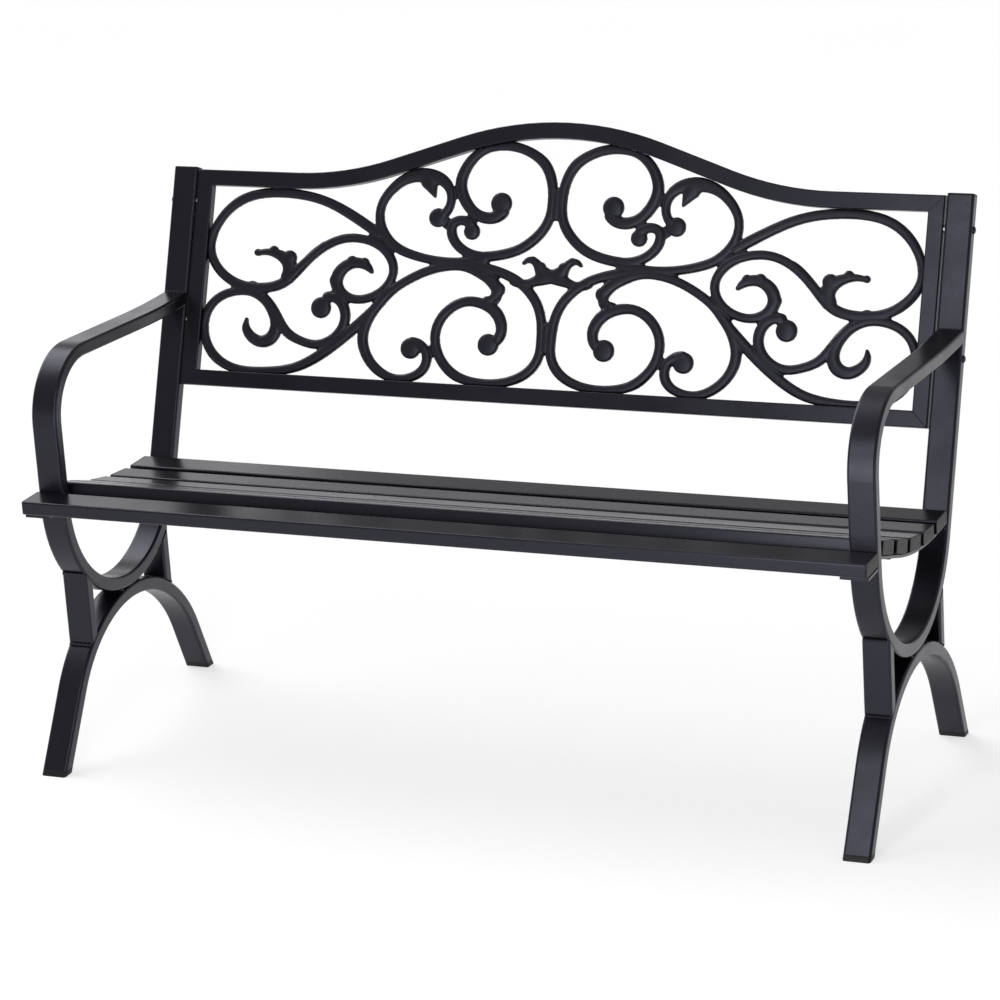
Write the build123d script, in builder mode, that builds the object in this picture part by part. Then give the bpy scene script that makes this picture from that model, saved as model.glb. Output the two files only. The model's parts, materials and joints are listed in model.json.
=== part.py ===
from build123d import *
from math import asin, cos, degrees, radians, sin, sqrt, tan
import os

# A garden bench of bent steel tube with a cast scroll panel in its back.
# Millimetres, +Z up, the front faces -Y, and X = 0 is the middle of the bench.
# Depths are measured from the front face of the front slat, and every plane shifts them
# by mid_depth, so that the origin is under the middle of the whole bench.
# Left and right are as seen by someone who stands in front of the bench.

# Whole bench and its frame tube
overall_width = 1270.0
tube_width = 40.0
tube_depth = 20.0
tube_wall = 1.5
tube_corner = 4.0
weld_gap = 0.2
overrun = 30.0

# Side loop: back post, U under the seat, front post and arm
back_lean = 21.5
loop_centre_depth = 228.0
u_outer_radius = 178.0
post_top_rise = 3.3
arm_height = 614.0
arm_bend_outer_radius = 101.0
arm_fall = 3.2
arm_straight = 184.0
arm_dip_radius = 1780.0
arm_end_clear = 8.0
arm_weld_sink = 0.5

# Leg arch and the struts on it
arch_crown_height = 213.0
arch_outer_radius = 215.0
front_leg_splay = 32.5
rear_leg_splay = 24.0
front_strut_offset = 126.0
rear_strut_offset = 114.0

# Plugs and glides
foot_cap_height = 8.0
foot_plug_length = 25.0
post_cap_thickness = 3.0
post_plug_length = 18.0
cap_edge_chamfer = 1.0
plug_clearance = 0.2

# Seat bars, tabs and slats
bar_width = 30.0
bar_thickness = 4.0
bar_front_height = 401.3
bar_fall = 17.5
bar_straight = 94.4
bar_radius = 602.0
tab_thickness = 4.0
tab_length = 42.0
slat_width = 50.0
slat_height = 20.0
slat_wall = 1.5
slat_corner = 3.0
front_slat_bottom = 396.0
slat_count = 5
first_slat_run = 25.8
slat_pitch = 65.3
slat_cap_thickness = 2.0
slat_plug_length = 10.0

# Backrest frame
frame_base = 147.3
frame_height = 331.9
frame_bar_width = 24.0
frame_bar_depth = 16.0
frame_wall = 1.5
frame_corner = 2.0
frame_post_gap = 2.5
frame_recess = 2.0
crown_rise = 88.2
crown_bend_radius = 495.0
crown_slope = 18.5

# Scroll casting. Its bars' width is a share of the opening's mean size, so that they still meet
# when the frame is longer or higher.
casting_depth = 10.0
casting_gap = 0.2
scroll_width_share = 0.0294
scroll_step = 16.0
fewest_scroll_steps = 4

# Fasteners
shank_diameter = 6.0
shank_clearance = 0.3
head_diameter = 11.0
head_height = 3.0
socket_across_corners = 4.6
socket_depth = 1.8
nut_body_diameter = 9.0
nut_flange_diameter = 12.0
nut_flange_thickness = 1.0
nut_bulge_length = 3.0
nut_length = 12.0
nut_fit = 0.1
washer_diameter = 12.0
seat_washer_thickness = 1.0
thread_end_clear = 1.0
bend_clearance = 0.05
upper_bolt_drop = 47.6
lower_bolt_rise = 101.2

# Weld beads
bead_radius = 3.0
bead_cut_reach = 12.0
crown_bead_reach = 26.0

# Angles in radians and lines that several pieces share
lean = radians(back_lean)
fall = radians(bar_fall)
front_splay = radians(front_leg_splay)
rear_splay = radians(rear_leg_splay)
tube_half_depth = tube_depth / 2
u_mid_radius = u_outer_radius - tube_half_depth
u_inner_radius = u_outer_radius - tube_depth
u_centre_height = arch_crown_height + weld_gap + u_outer_radius
arch_mid_radius = arch_outer_radius - tube_half_depth
arch_centre_height = arch_crown_height - arch_outer_radius
front_post_face = loop_centre_depth - u_outer_radius
front_post_rear = front_post_face + tube_depth
side_x = (overall_width - tube_width) / 2
post_foot_depth = loop_centre_depth + u_inner_radius * cos(lean)
post_foot_height = u_centre_height - u_inner_radius * sin(lean)
frame_half_width = overall_width / 2 - tube_width - frame_post_gap
frame_top = frame_base + frame_height
back_post_length = frame_top + post_top_rise
opening_half_width = frame_half_width - frame_bar_width
opening_base = frame_base + frame_bar_width
opening_height = frame_height - 2 * frame_bar_width + crown_rise
scroll_width = scroll_width_share * sqrt(opening_half_width * opening_height)

# The bench's foremost and rearmost points give the middle of its depth
toe_reach = (arch_outer_radius + arch_centre_height * sin(front_splay)) / cos(front_splay)
foremost = loop_centre_depth - toe_reach
crown_run = frame_top + crown_rise
frame_back_depth = frame_recess + frame_bar_depth
rearmost = post_foot_depth + crown_run * sin(lean) + frame_back_depth * cos(lean)
mid_depth = (foremost + rearmost) / 2

sides = (("left", -1), ("right", 1))


def side_plane(x):
    """Upright plane along the depth, seen from +X: first axis back, second axis up."""
    return Plane(origin=(x, -mid_depth, 0), x_dir=(0, 1, 0), z_dir=(1, 0, 0))


def level_plane(height):
    """Level plane with depths measured from the front slat."""
    return Plane(origin=(0, -mid_depth, height))


def post_place(run, depth):
    """Depth and height of a place on the back posts, up the front face and behind it."""
    place_depth = post_foot_depth + run * sin(lean) + depth * cos(lean)
    place_height = post_foot_height + run * cos(lean) - depth * sin(lean)
    return place_depth, place_height


def back_plane(depth):
    """Plane of the backrest, a depth behind the posts' front face: first axis X, second upward."""
    place_depth, place_height = post_place(0, depth)
    origin = (0, place_depth - mid_depth, place_height)
    return Plane(origin=origin, x_dir=(1, 0, 0), z_dir=(0, -cos(lean), sin(lean)))


def seat_place(run):
    """Depth, height and slope of the seat bar's middle line, a run along it from the front post."""
    on_straight = min(run, bar_straight)
    on_bend = min(max(run - bar_straight, 0), bar_radius * fall)
    on_level = max(run - bar_straight - bar_radius * fall, 0)
    slope = fall - on_bend / bar_radius
    depth = front_post_rear + on_straight * cos(fall) + bar_radius * (sin(fall) - sin(slope)) + on_level
    height = bar_front_height - on_straight * sin(fall) - bar_radius * (cos(slope) - cos(fall))
    return depth, height, slope


def seat_plane(place, x, rise):
    """Plane square to the seat bar at a place on it, facing up, raised along its own normal."""
    depth, height, slope = place
    origin = (x, depth - mid_depth + rise * sin(slope), height + rise * cos(slope))
    return Plane(origin=origin, x_dir=(1, 0, 0), z_dir=(0, sin(slope), cos(slope)))


def slat_plane(place, x, rise):
    """Plane of a slat's section, seen from +X: first axis down the seat, second axis out of it."""
    depth, height, slope = place
    origin = (x, depth - mid_depth + rise * sin(slope), height + rise * cos(slope))
    return Plane(origin=origin, x_dir=(0, cos(slope), -sin(slope)), z_dir=(1, 0, 0))


def raised(planes, amount):
    """The same planes, each moved along its own normal."""
    return [plane.offset(amount) for plane in planes]


def tube_profile(width, depth, corner, wall):
    """Hollow section with rounded corners, drawn in the sketch that is open."""
    RectangleRounded(width, depth, corner)
    RectangleRounded(width - 2 * wall, depth - 2 * wall, corner - wall, mode=Mode.SUBTRACT)


def plug_profile(width, depth, corner, wall):
    """Solid section that slides into such a tube with the plugs' clearance."""
    inset = wall + plug_clearance
    RectangleRounded(width - 2 * inset, depth - 2 * inset, corner - wall)


def write(piece, name):
    """Label a finished piece and write its file."""
    piece.part.label = name
    export_step(piece.part, f"parts/{name}.step")


os.makedirs("parts", exist_ok=True)

# Places of the fasteners
seat_gap = nut_flange_thickness + seat_washer_thickness
seat_places = [seat_place(first_slat_run + number * slat_pitch) for number in range(slat_count)]
tab_mid_height = front_slat_bottom - seat_gap - bend_clearance - tab_thickness / 2
front_place = (slat_width / 2, tab_mid_height, 0)
carriers = [(front_place, tab_thickness)] + [(place, bar_thickness) for place in seat_places]
back_bolt_runs = (frame_base + lower_bolt_rise, frame_top - upper_bolt_drop)


def back_bolt_planes(x):
    """Planes across the bench at the back bolts' places, each facing the middle."""
    planes = []
    for side, sign in sides:
        for run in back_bolt_runs:
            depth, height = post_place(run, tube_half_depth)
            planes.append(Plane(origin=(sign * x, depth - mid_depth, height), z_dir=(-sign, 0, 0)))
    return planes


def carrier_planes(x, level):
    """Planes at one side's seat bolts, under (-1) or on top of (1) what carries each slat."""
    planes = []
    for place, thickness in carriers:
        planes.append(seat_plane(place, x, level * (thickness / 2 + bend_clearance)))
    return planes


# Side loop: one tube from the top of the back post round to the arm's end
arm_bend_height = arm_height - arm_bend_outer_radius
arm_mid_radius = arm_bend_outer_radius - tube_half_depth
arm_dip_start = front_post_face + arm_bend_outer_radius + arm_mid_radius * sin(radians(arm_fall))
arm_dip_start = arm_dip_start + arm_straight * cos(radians(arm_fall))
arm_low_height = arm_bend_height + arm_mid_radius - tube_half_depth
arm_low_height = arm_low_height - arm_straight * sin(radians(arm_fall))
arm_meets_post = post_foot_depth + (arm_low_height - post_foot_height) * tan(lean)
arm_dip_reach = arm_meets_post - arm_end_clear - arm_dip_start
arm_rise = degrees(asin(arm_dip_reach / arm_dip_radius - sin(radians(arm_fall))))

for side, sign in sides:
    loop_x = sign * side_x
    tube_top = post_place(back_post_length - post_cap_thickness, tube_half_depth)
    with BuildPart() as side_loop:
        with BuildLine(side_plane(loop_x)) as loop_path:
            post_run = Line(tube_top, post_place(0, tube_half_depth))
            u_bend = JernArc(post_run @ 1, post_run % 1, u_mid_radius, back_lean - 180)
            front_height = arm_bend_height - u_centre_height
            front_run = Line(u_bend @ 1, (u_bend @ 1) + (u_bend % 1) * front_height)
            arm_bend = JernArc(front_run @ 1, front_run % 1, arm_mid_radius, -arm_fall - 90)
            arm_run = Line(arm_bend @ 1, (arm_bend @ 1) + (arm_bend % 1) * arm_straight)
            arm_dip = JernArc(arm_run @ 1, arm_run % 1, arm_dip_radius, arm_fall + arm_rise)
        with BuildSketch(Plane(origin=post_run @ 0, x_dir=(1, 0, 0), z_dir=post_run % 0)):
            tube_profile(tube_width, tube_depth, tube_corner, tube_wall)
        sweep(path=loop_path.line)
        # The arm's end runs into the post's front wall, and the post's bore is cleared of it
        with BuildSketch(Plane(origin=arm_dip @ 1, x_dir=(1, 0, 0), z_dir=arm_dip % 1)):
            tube_profile(tube_width, tube_depth, tube_corner, tube_wall)
        extrude(amount=arm_end_clear + tube_depth * tan(lean) + tube_wall / cos(lean) + arm_weld_sink)
        with BuildSketch(Plane(origin=post_run @ 0, x_dir=(1, 0, 0), z_dir=post_run % 0)):
            RectangleRounded(tube_width - 2 * tube_wall, tube_depth - 2 * tube_wall, tube_corner - tube_wall)
        extrude(amount=post_run.length, mode=Mode.SUBTRACT)
        with BuildSketch(*back_bolt_planes(overall_width / 2)):
            Circle(shank_diameter / 2 + shank_clearance)
        extrude(amount=tube_width, mode=Mode.SUBTRACT)
    write(side_loop, f"{side}_side_loop")

# Leg arch: one tube over the crown, cut level above the glides
for side, sign in sides:
    arch_x = sign * side_x
    with BuildPart() as leg_arch:
        with BuildLine(side_plane(arch_x)) as arch_path:
            front_spring_depth = loop_centre_depth - arch_mid_radius * cos(front_splay)
            front_spring_height = arch_centre_height + arch_mid_radius * sin(front_splay)
            front_leg_length = (front_spring_height + overrun) / cos(front_splay)
            front_end = (front_spring_depth - front_leg_length * sin(front_splay), -overrun)
            front_leg = Line(front_end, (front_spring_depth, front_spring_height))
            crown_turn = front_leg_splay + rear_leg_splay - 180
            crown = JernArc(front_leg @ 1, front_leg % 1, arch_mid_radius, crown_turn)
            rear_spring_height = arch_centre_height + arch_mid_radius * sin(rear_splay)
            rear_leg_length = (rear_spring_height + overrun) / cos(rear_splay)
            rear_leg = Line(crown @ 1, (crown @ 1) + (crown % 1) * rear_leg_length)
        with BuildSketch(Plane(origin=front_leg @ 0, x_dir=(1, 0, 0), z_dir=front_leg % 0)):
            tube_profile(tube_width, tube_depth, tube_corner, tube_wall)
        sweep(path=arch_path.line)
        split(bisect_by=level_plane(foot_cap_height), keep=Keep.TOP)
    write(leg_arch, f"{side}_leg_arch")
    # Glides: a sole that carries on the leg's outline to the floor, and a plug up the leg
    for end, leg_end, leg_line in (("front", 0, front_leg), ("rear", 1, rear_leg)):
        up_leg = (leg_line % leg_end) * (1 - 2 * leg_end)
        leg_plane = Plane(origin=leg_line @ leg_end, x_dir=(1, 0, 0), z_dir=up_leg)
        splay = (front_splay, rear_splay)[leg_end]
        sole_run = (overrun + foot_cap_height) / cos(splay) + tube_half_depth * tan(splay)
        with BuildPart() as foot_cap:
            with BuildSketch(leg_plane):
                RectangleRounded(tube_width, tube_depth, tube_corner)
            extrude(amount=sole_run)
            split(bisect_by=level_plane(foot_cap_height), keep=Keep.BOTTOM)
            with BuildSketch(leg_plane):
                plug_profile(tube_width, tube_depth, tube_corner, tube_wall)
            extrude(amount=sole_run + foot_plug_length)
            split(bisect_by=level_plane(0), keep=Keep.TOP)
        write(foot_cap, f"{side}_{end}_foot_cap")

# Plugs in the tops of the back posts
for side, sign in sides:
    cap_depth, cap_height = post_place(back_post_length - post_cap_thickness, tube_half_depth)
    cap_origin = (sign * side_x, cap_depth - mid_depth, cap_height)
    cap_plane = Plane(origin=cap_origin, x_dir=(1, 0, 0), z_dir=(0, sin(lean), cos(lean)))
    with BuildPart() as post_cap:
        with BuildSketch(cap_plane):
            RectangleRounded(tube_width, tube_depth, tube_corner)
        extrude(amount=post_cap_thickness)
        rim = post_cap.faces().sort_by(Axis(cap_plane.origin, cap_plane.z_dir))[-1].edges()
        chamfer(rim, cap_edge_chamfer)
        with BuildSketch(cap_plane):
            plug_profile(tube_width, tube_depth, tube_corner, tube_wall)
        extrude(amount=-post_plug_length)
    write(post_cap, f"{side}_post_cap")

# Struts: short upright tubes, coped to the arch below and the U above
for side, sign in sides:
    strut_x = sign * side_x
    for end, strut_offset in (("front", -front_strut_offset), ("rear", rear_strut_offset)):
        with BuildPart() as strut:
            with BuildSketch(level_plane(arch_centre_height)):
                with Locations((strut_x, loop_centre_depth + strut_offset)):
                    tube_profile(tube_width, tube_depth, tube_corner, tube_wall)
            extrude(amount=u_centre_height - arch_centre_height)
            with BuildSketch(side_plane(strut_x - tube_width)):
                with Locations((loop_centre_depth, u_centre_height)):
                    Circle(u_outer_radius + weld_gap)
                with Locations((loop_centre_depth, arch_centre_height)):
                    Circle(arch_outer_radius + weld_gap)
            extrude(amount=2 * tube_width, mode=Mode.SUBTRACT)
        write(strut, f"{side}_{end}_strut")

# Seat bars: flat bar bent to the seat's hollow, from the front post to the back post
for side, sign in sides:
    bar_x = sign * side_x
    with BuildPart() as seat_bar:
        with BuildLine(side_plane(bar_x)) as bar_path:
            lead = (front_post_rear - overrun * cos(fall), bar_front_height + overrun * sin(fall))
            bar_start = Line(lead, seat_place(bar_straight)[:2])
            bar_bend = JernArc(bar_start @ 1, bar_start % 1, bar_radius, bar_fall)
            bar_level = post_foot_depth + overrun - seat_place(bar_straight + bar_radius * fall)[0]
            bar_end = Line(bar_bend @ 1, (bar_bend @ 1) + (bar_bend % 1) * bar_level)
        with BuildSketch(Plane(origin=bar_start @ 0, x_dir=(1, 0, 0), z_dir=bar_start % 0)):
            Rectangle(bar_width, bar_thickness)
        sweep(path=bar_path.line)
        post_rear_plane = Plane(origin=(0, front_post_rear - mid_depth, 0), z_dir=(0, 1, 0))
        split(bisect_by=post_rear_plane, keep=Keep.TOP)
        split(bisect_by=back_plane(0), keep=Keep.TOP)
        with BuildSketch(*carrier_planes(bar_x, 1)[1:]):
            Circle(shank_diameter / 2 + shank_clearance)
        extrude(amount=bar_thickness + bend_clearance, both=True, mode=Mode.SUBTRACT)
    write(seat_bar, f"{side}_seat_bar")

# Tabs under the front slat
for side, sign in sides:
    tab_x = sign * side_x
    tab_middle = front_post_face - tab_length / 2
    with BuildPart() as front_tab:
        with BuildSketch(level_plane(tab_mid_height - tab_thickness / 2)):
            with Locations((tab_x, tab_middle)):
                Rectangle(tube_width, tab_length)
        extrude(amount=tab_thickness)
        with BuildSketch(carrier_planes(tab_x, 1)[0]):
            Circle(shank_diameter / 2 + shank_clearance)
        extrude(amount=tab_thickness + bend_clearance, both=True, mode=Mode.SUBTRACT)
    write(front_tab, f"{side}_front_tab")

# Slats: tubes across the bench, each bored underneath for its two rivet nuts
slat_length = overall_width - 2 * slat_cap_thickness
slat_names = ["front_slat"] + [f"seat_slat_{number + 1}" for number in range(slat_count)]
slat_rises = [thickness / 2 + bend_clearance + seat_gap + slat_height / 2 for place, thickness in carriers]
nut_hole_radius = nut_body_diameter / 2 + nut_fit
for number, slat_name in enumerate(slat_names):
    place, thickness = carriers[number]
    middle_rise = slat_rises[number]
    under_rise = middle_rise - slat_height / 2
    with BuildPart() as slat:
        with BuildSketch(slat_plane(place, -slat_length / 2, middle_rise)):
            tube_profile(slat_width, slat_height, slat_corner, slat_wall)
        extrude(amount=slat_length)
        with BuildSketch(*[seat_plane(place, sign * side_x, under_rise) for side, sign in sides]):
            Circle(nut_hole_radius)
        extrude(amount=slat_wall, mode=Mode.SUBTRACT)
    write(slat, slat_name)

# Plugs in the slats' ends
for side, sign in sides:
    end_x = sign * slat_length / 2
    cap_planes = []
    for number in range(slat_count + 1):
        cap_planes.append(slat_plane(carriers[number][0], end_x, slat_rises[number]))
    with BuildPart() as slat_caps:
        with BuildSketch(*cap_planes):
            RectangleRounded(slat_width, slat_height, slat_corner)
        extrude(amount=sign * slat_cap_thickness)
        with BuildSketch(*cap_planes):
            plug_profile(slat_width, slat_height, slat_corner, slat_wall)
        extrude(amount=-sign * slat_plug_length)
    write(slat_caps, f"{side}_slat_caps")

# Backrest frame: four tubes mitred at the corners, set between the posts
frame_mid_depth = frame_recess + frame_bar_depth / 2
frame_mid_plane = back_plane(frame_mid_depth)
half_bar = frame_bar_width / 2
stile_x = frame_half_width - half_bar


def mitre(sign, run, turn):
    """Plane through a corner of the frame, along the depth, facing the stile's own side of the mitre."""
    corner = frame_mid_plane.from_local_coords(Vector(sign * frame_half_width, run))
    outward = frame_mid_plane.x_dir * sign
    along = frame_mid_plane.y_dir * turn
    return Plane(origin=corner, z_dir=outward - along)


for side, sign in sides:
    foot = frame_mid_plane.from_local_coords(Vector(sign * stile_x, frame_base))
    with BuildPart() as stile:
        with BuildSketch(Plane(origin=foot, x_dir=(1, 0, 0), z_dir=frame_mid_plane.y_dir)):
            tube_profile(frame_bar_width, frame_bar_depth, frame_corner, frame_wall)
        extrude(amount=frame_height)
        split(bisect_by=mitre(sign, frame_base, -1), keep=Keep.TOP)
        split(bisect_by=mitre(sign, frame_top, 1), keep=Keep.TOP)
        with BuildSketch(*back_bolt_planes(frame_half_width)):
            Circle(nut_hole_radius)
        extrude(amount=frame_wall, mode=Mode.SUBTRACT)
    write(stile, f"{side}_stile")

with BuildPart() as bottom_rail:
    rail_start = frame_mid_plane.from_local_coords(Vector(-frame_half_width, frame_base + half_bar))
    with BuildSketch(Plane(origin=rail_start, x_dir=frame_mid_plane.y_dir, z_dir=(1, 0, 0))):
        tube_profile(frame_bar_width, frame_bar_depth, frame_corner, frame_wall)
    extrude(amount=2 * frame_half_width)
    split(bisect_by=mitre(-1, frame_base, -1), keep=Keep.BOTTOM)
    split(bisect_by=mitre(1, frame_base, -1), keep=Keep.BOTTOM)
write(bottom_rail, "bottom_rail")

# Top rail: level at the sides, then a bend, a straight slope and a longer bend over the crown
bend_rise = crown_bend_radius * (1 - cos(radians(crown_slope)))
slope_length = (crown_rise - 2 * bend_rise) / sin(radians(crown_slope))
crown_half_span = 2 * crown_bend_radius * sin(radians(crown_slope))
crown_half_span = crown_half_span + slope_length * cos(radians(crown_slope))


def crown_line(inset, half_reach):
    """Line along the top rail, drawn in the line that is open, an inset below the rail's top edge."""
    rail_height = frame_top - inset
    lower_radius = crown_bend_radius + inset - half_bar
    upper_radius = crown_bend_radius - inset + half_bar
    level_in = Line((-half_reach, rail_height), (-crown_half_span, rail_height))
    bend_in = JernArc(level_in @ 1, level_in % 1, lower_radius, crown_slope)
    slope_in = Line(bend_in @ 1, (bend_in @ 1) + (bend_in % 1) * slope_length)
    over = JernArc(slope_in @ 1, slope_in % 1, upper_radius, -2 * crown_slope)
    slope_out = Line(over @ 1, (over @ 1) + (over % 1) * slope_length)
    bend_out = JernArc(slope_out @ 1, slope_out % 1, lower_radius, crown_slope)
    Line(bend_out @ 1, (bend_out @ 1) + (bend_out % 1) * (half_reach - crown_half_span))


with BuildPart() as top_rail:
    with BuildLine(frame_mid_plane) as top_path:
        crown_line(half_bar, frame_half_width)
    top_start = frame_mid_plane.from_local_coords(Vector(-frame_half_width, frame_top - half_bar))
    with BuildSketch(Plane(origin=top_start, x_dir=frame_mid_plane.y_dir, z_dir=(1, 0, 0))):
        tube_profile(frame_bar_width, frame_bar_depth, frame_corner, frame_wall)
    sweep(path=top_path.line)
    split(bisect_by=mitre(-1, frame_top, 1), keep=Keep.BOTTOM)
    split(bisect_by=mitre(1, frame_top, 1), keep=Keep.BOTTOM)
write(top_rail, "top_rail")

# Bolts: button heads with a hexagon socket, each shank along its plane's normal


def bolts(planes, grip):
    """Bolts whose heads sit on the given planes, with shanks of the given length."""
    with BuildPart() as group:
        with BuildSketch(*planes):
            Circle(head_diameter / 2)
        extrude(amount=-head_height)
        with BuildSketch(*raised(planes, -head_height)):
            RegularPolygon(socket_across_corners / 2, 6)
        extrude(amount=socket_depth, mode=Mode.SUBTRACT)
        with BuildSketch(*planes):
            Circle(shank_diameter / 2)
        extrude(amount=grip)
    return group


def washers(planes, thickness):
    """Washers that stand on the given planes."""
    with BuildPart() as group:
        with BuildSketch(*planes):
            Circle(washer_diameter / 2)
            Circle(shank_diameter / 2 + shank_clearance, mode=Mode.SUBTRACT)
        extrude(amount=thickness)
    return group


def rivet_nuts(planes, wall):
    """Rivet nuts in a tube's wall: the flange stands out of the planes and the body runs in."""
    with BuildPart() as group:
        with BuildSketch(*raised(planes, -nut_flange_thickness)):
            Circle(nut_flange_diameter / 2)
        extrude(amount=nut_flange_thickness)
        with BuildSketch(*planes):
            Circle(nut_body_diameter / 2)
        extrude(amount=nut_length)
        with BuildSketch(*raised(planes, wall)):
            Circle(nut_flange_diameter / 2)
        extrude(amount=nut_bulge_length)
        with BuildSketch(*raised(planes, -nut_flange_thickness)):
            Circle(shank_diameter / 2 + nut_fit)
        extrude(amount=nut_flange_thickness + nut_length, mode=Mode.SUBTRACT)
    return group


seat_heads = []
seat_tops = []
slat_undersides = []
for side, sign in sides:
    seat_heads += carrier_planes(sign * side_x, -1)
    seat_tops += carrier_planes(sign * side_x, 1)
    slat_undersides += raised(carrier_planes(sign * side_x, 1), seat_gap)
seat_grip = bar_thickness + 2 * bend_clearance + seat_gap + nut_length - thread_end_clear
write(bolts(seat_heads, seat_grip), "seat_bolts")
write(washers(seat_tops, seat_washer_thickness), "seat_washers")
write(rivet_nuts(slat_undersides, slat_wall), "seat_rivet_nuts")

back_heads = back_bolt_planes(overall_width / 2)
back_grip = tube_width + frame_post_gap + nut_length - thread_end_clear
back_washer_thickness = frame_post_gap - nut_flange_thickness
stile_faces = back_bolt_planes(frame_half_width)
write(bolts(back_heads, back_grip), "back_bolts")
write(washers(raised(back_heads, tube_width), back_washer_thickness), "back_washers")
write(rivet_nuts(stile_faces, frame_wall), "back_rivet_nuts")

# Scroll casting. Each bar follows a smooth line through stations of three shares: across the
# frame's opening from its middle, in half widths; up from the bottom rail, in the opening's
# heights at the crown; and the bar's width there, in scroll widths.
outer_loop_shares = (
    (-0.498, 0.590, 1.20), (-0.565, 0.648, 1.20), (-0.668, 0.718, 1.10), (-0.788, 0.744, 1.10),
    (-0.909, 0.712, 1.10), (-0.981, 0.601, 1.00), (-0.993, 0.493, 1.00), (-0.927, 0.377, 1.10),
    (-0.845, 0.350, 1.15), (-0.774, 0.372, 1.20), (-0.712, 0.458, 1.05), (-0.655, 0.535, 1.00),
)
inner_curl_shares = (
    (-0.712, 0.458, 1.05), (-0.655, 0.532, 1.00), (-0.600, 0.567, 1.00), (-0.544, 0.568, 1.00),
    (-0.480, 0.528, 1.05), (-0.450, 0.450, 1.00), (-0.466, 0.380, 1.00), (-0.507, 0.335, 1.00),
    (-0.555, 0.322, 1.00), (-0.595, 0.345, 1.20), (-0.613, 0.390, 1.50), (-0.603, 0.435, 1.40),
    (-0.572, 0.468, 1.25), (-0.538, 0.466, 1.15), (-0.513, 0.437, 0.50),
)
outer_leaf_shares = (
    (-0.757, 0.400, 1.70), (-0.757, 0.455, 1.70), (-0.785, 0.487, 1.20), (-0.820, 0.499, 0.80),
    (-0.853, 0.492, 0.65),
)
low_loop_shares = (
    (-0.868, 0.220, 0.35), (-0.868, 0.180, 0.95), (-0.850, 0.147, 1.20), (-0.820, 0.130, 1.35),
    (-0.790, 0.150, 1.50), (-0.780, 0.200, 1.40), (-0.792, 0.250, 1.20), (-0.820, 0.300, 1.05),
    (-0.862, 0.331, 1.00), (-0.905, 0.332, 1.00), (-0.950, 0.309, 1.00), (-0.984, 0.257, 1.00),
    (-0.994, 0.175, 1.00), (-0.964, 0.072, 1.10), (-0.898, 0.016, 1.05), (-0.810, 0.009, 1.00),
    (-0.712, 0.033, 1.10), (-0.615, 0.120, 1.20), (-0.544, 0.213, 1.25), (-0.502, 0.275, 1.20),
)
low_hook_shares = (
    (-0.820, 0.309, 1.00), (-0.780, 0.238, 1.10), (-0.745, 0.172, 1.10), (-0.700, 0.140, 1.00),
    (-0.655, 0.130, 1.05), (-0.608, 0.160, 1.10), (-0.583, 0.210, 1.15), (-0.580, 0.265, 1.20),
    (-0.600, 0.315, 1.20), (-0.636, 0.326, 1.20),
)
low_mid_shares = (
    (-0.380, 0.163, 1.00), (-0.346, 0.142, 1.00), (-0.333, 0.100, 1.10), (-0.342, 0.052, 1.10),
    (-0.378, 0.017, 1.00), (-0.424, 0.010, 1.00), (-0.470, 0.038, 1.10), (-0.507, 0.095, 1.15),
    (-0.523, 0.170, 1.25), (-0.508, 0.255, 1.20), (-0.475, 0.325, 1.15), (-0.445, 0.370, 1.00),
    (-0.397, 0.418, 1.00), (-0.352, 0.450, 1.00), (-0.297, 0.472, 1.00), (-0.245, 0.474, 1.10),
    (-0.195, 0.448, 1.30), (-0.160, 0.412, 1.40), (-0.148, 0.375, 1.30), (-0.175, 0.340, 1.10),
)
low_centre_shares = (
    (-0.137, 0.185, 1.10), (-0.128, 0.240, 1.30), (-0.150, 0.300, 1.35), (-0.190, 0.330, 1.20),
    (-0.235, 0.334, 1.10), (-0.290, 0.285, 1.10), (-0.314, 0.205, 1.10), (-0.299, 0.110, 1.10),
    (-0.246, 0.034, 1.15), (-0.190, 0.013, 1.00), (-0.137, 0.012, 1.00), (-0.093, 0.025, 1.05),
    (-0.045, 0.064, 1.10), (-0.018, 0.125, 1.10), (-0.014, 0.205, 1.10), (-0.021, 0.290, 1.10),
    (-0.045, 0.362, 1.10), (-0.095, 0.427, 1.10), (-0.146, 0.459, 1.10), (-0.196, 0.475, 1.10),
    (-0.245, 0.482, 1.00),
)
high_centre_shares = (
    (-0.150, 0.700, 1.30), (-0.186, 0.673, 1.35), (-0.228, 0.690, 1.25), (-0.260, 0.740, 1.30),
    (-0.276, 0.805, 1.35), (-0.268, 0.862, 1.25), (-0.248, 0.910, 1.15), (-0.211, 0.952, 1.05),
    (-0.166, 0.966, 1.10), (-0.130, 0.963, 1.10), (-0.090, 0.945, 1.10), (-0.042, 0.895, 1.20),
    (-0.018, 0.815, 1.15), (-0.014, 0.740, 1.10), (-0.019, 0.680, 1.10), (-0.041, 0.620, 1.15),
    (-0.091, 0.557, 1.15), (-0.146, 0.528, 1.15), (-0.196, 0.518, 1.10),
)
high_curl_shares = (
    (-0.146, 0.528, 1.10), (-0.196, 0.518, 1.10), (-0.240, 0.530, 1.10), (-0.272, 0.560, 1.10),
    (-0.291, 0.605, 1.15), (-0.287, 0.648, 1.10), (-0.262, 0.660, 1.10), (-0.236, 0.645, 1.10),
)
high_mid_shares = (
    (-0.320, 0.678, 1.00), (-0.302, 0.722, 1.00), (-0.303, 0.768, 1.00), (-0.318, 0.806, 1.20),
    (-0.350, 0.832, 1.50), (-0.392, 0.837, 1.60), (-0.432, 0.822, 1.30), (-0.470, 0.780, 1.10),
    (-0.497, 0.720, 1.00), (-0.502, 0.660, 1.05), (-0.487, 0.598, 1.15), (-0.447, 0.541, 1.10),
    (-0.397, 0.512, 1.05), (-0.347, 0.497, 1.00), (-0.297, 0.491, 1.00), (-0.240, 0.493, 1.10),
    (-0.190, 0.503, 1.00),
)
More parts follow.
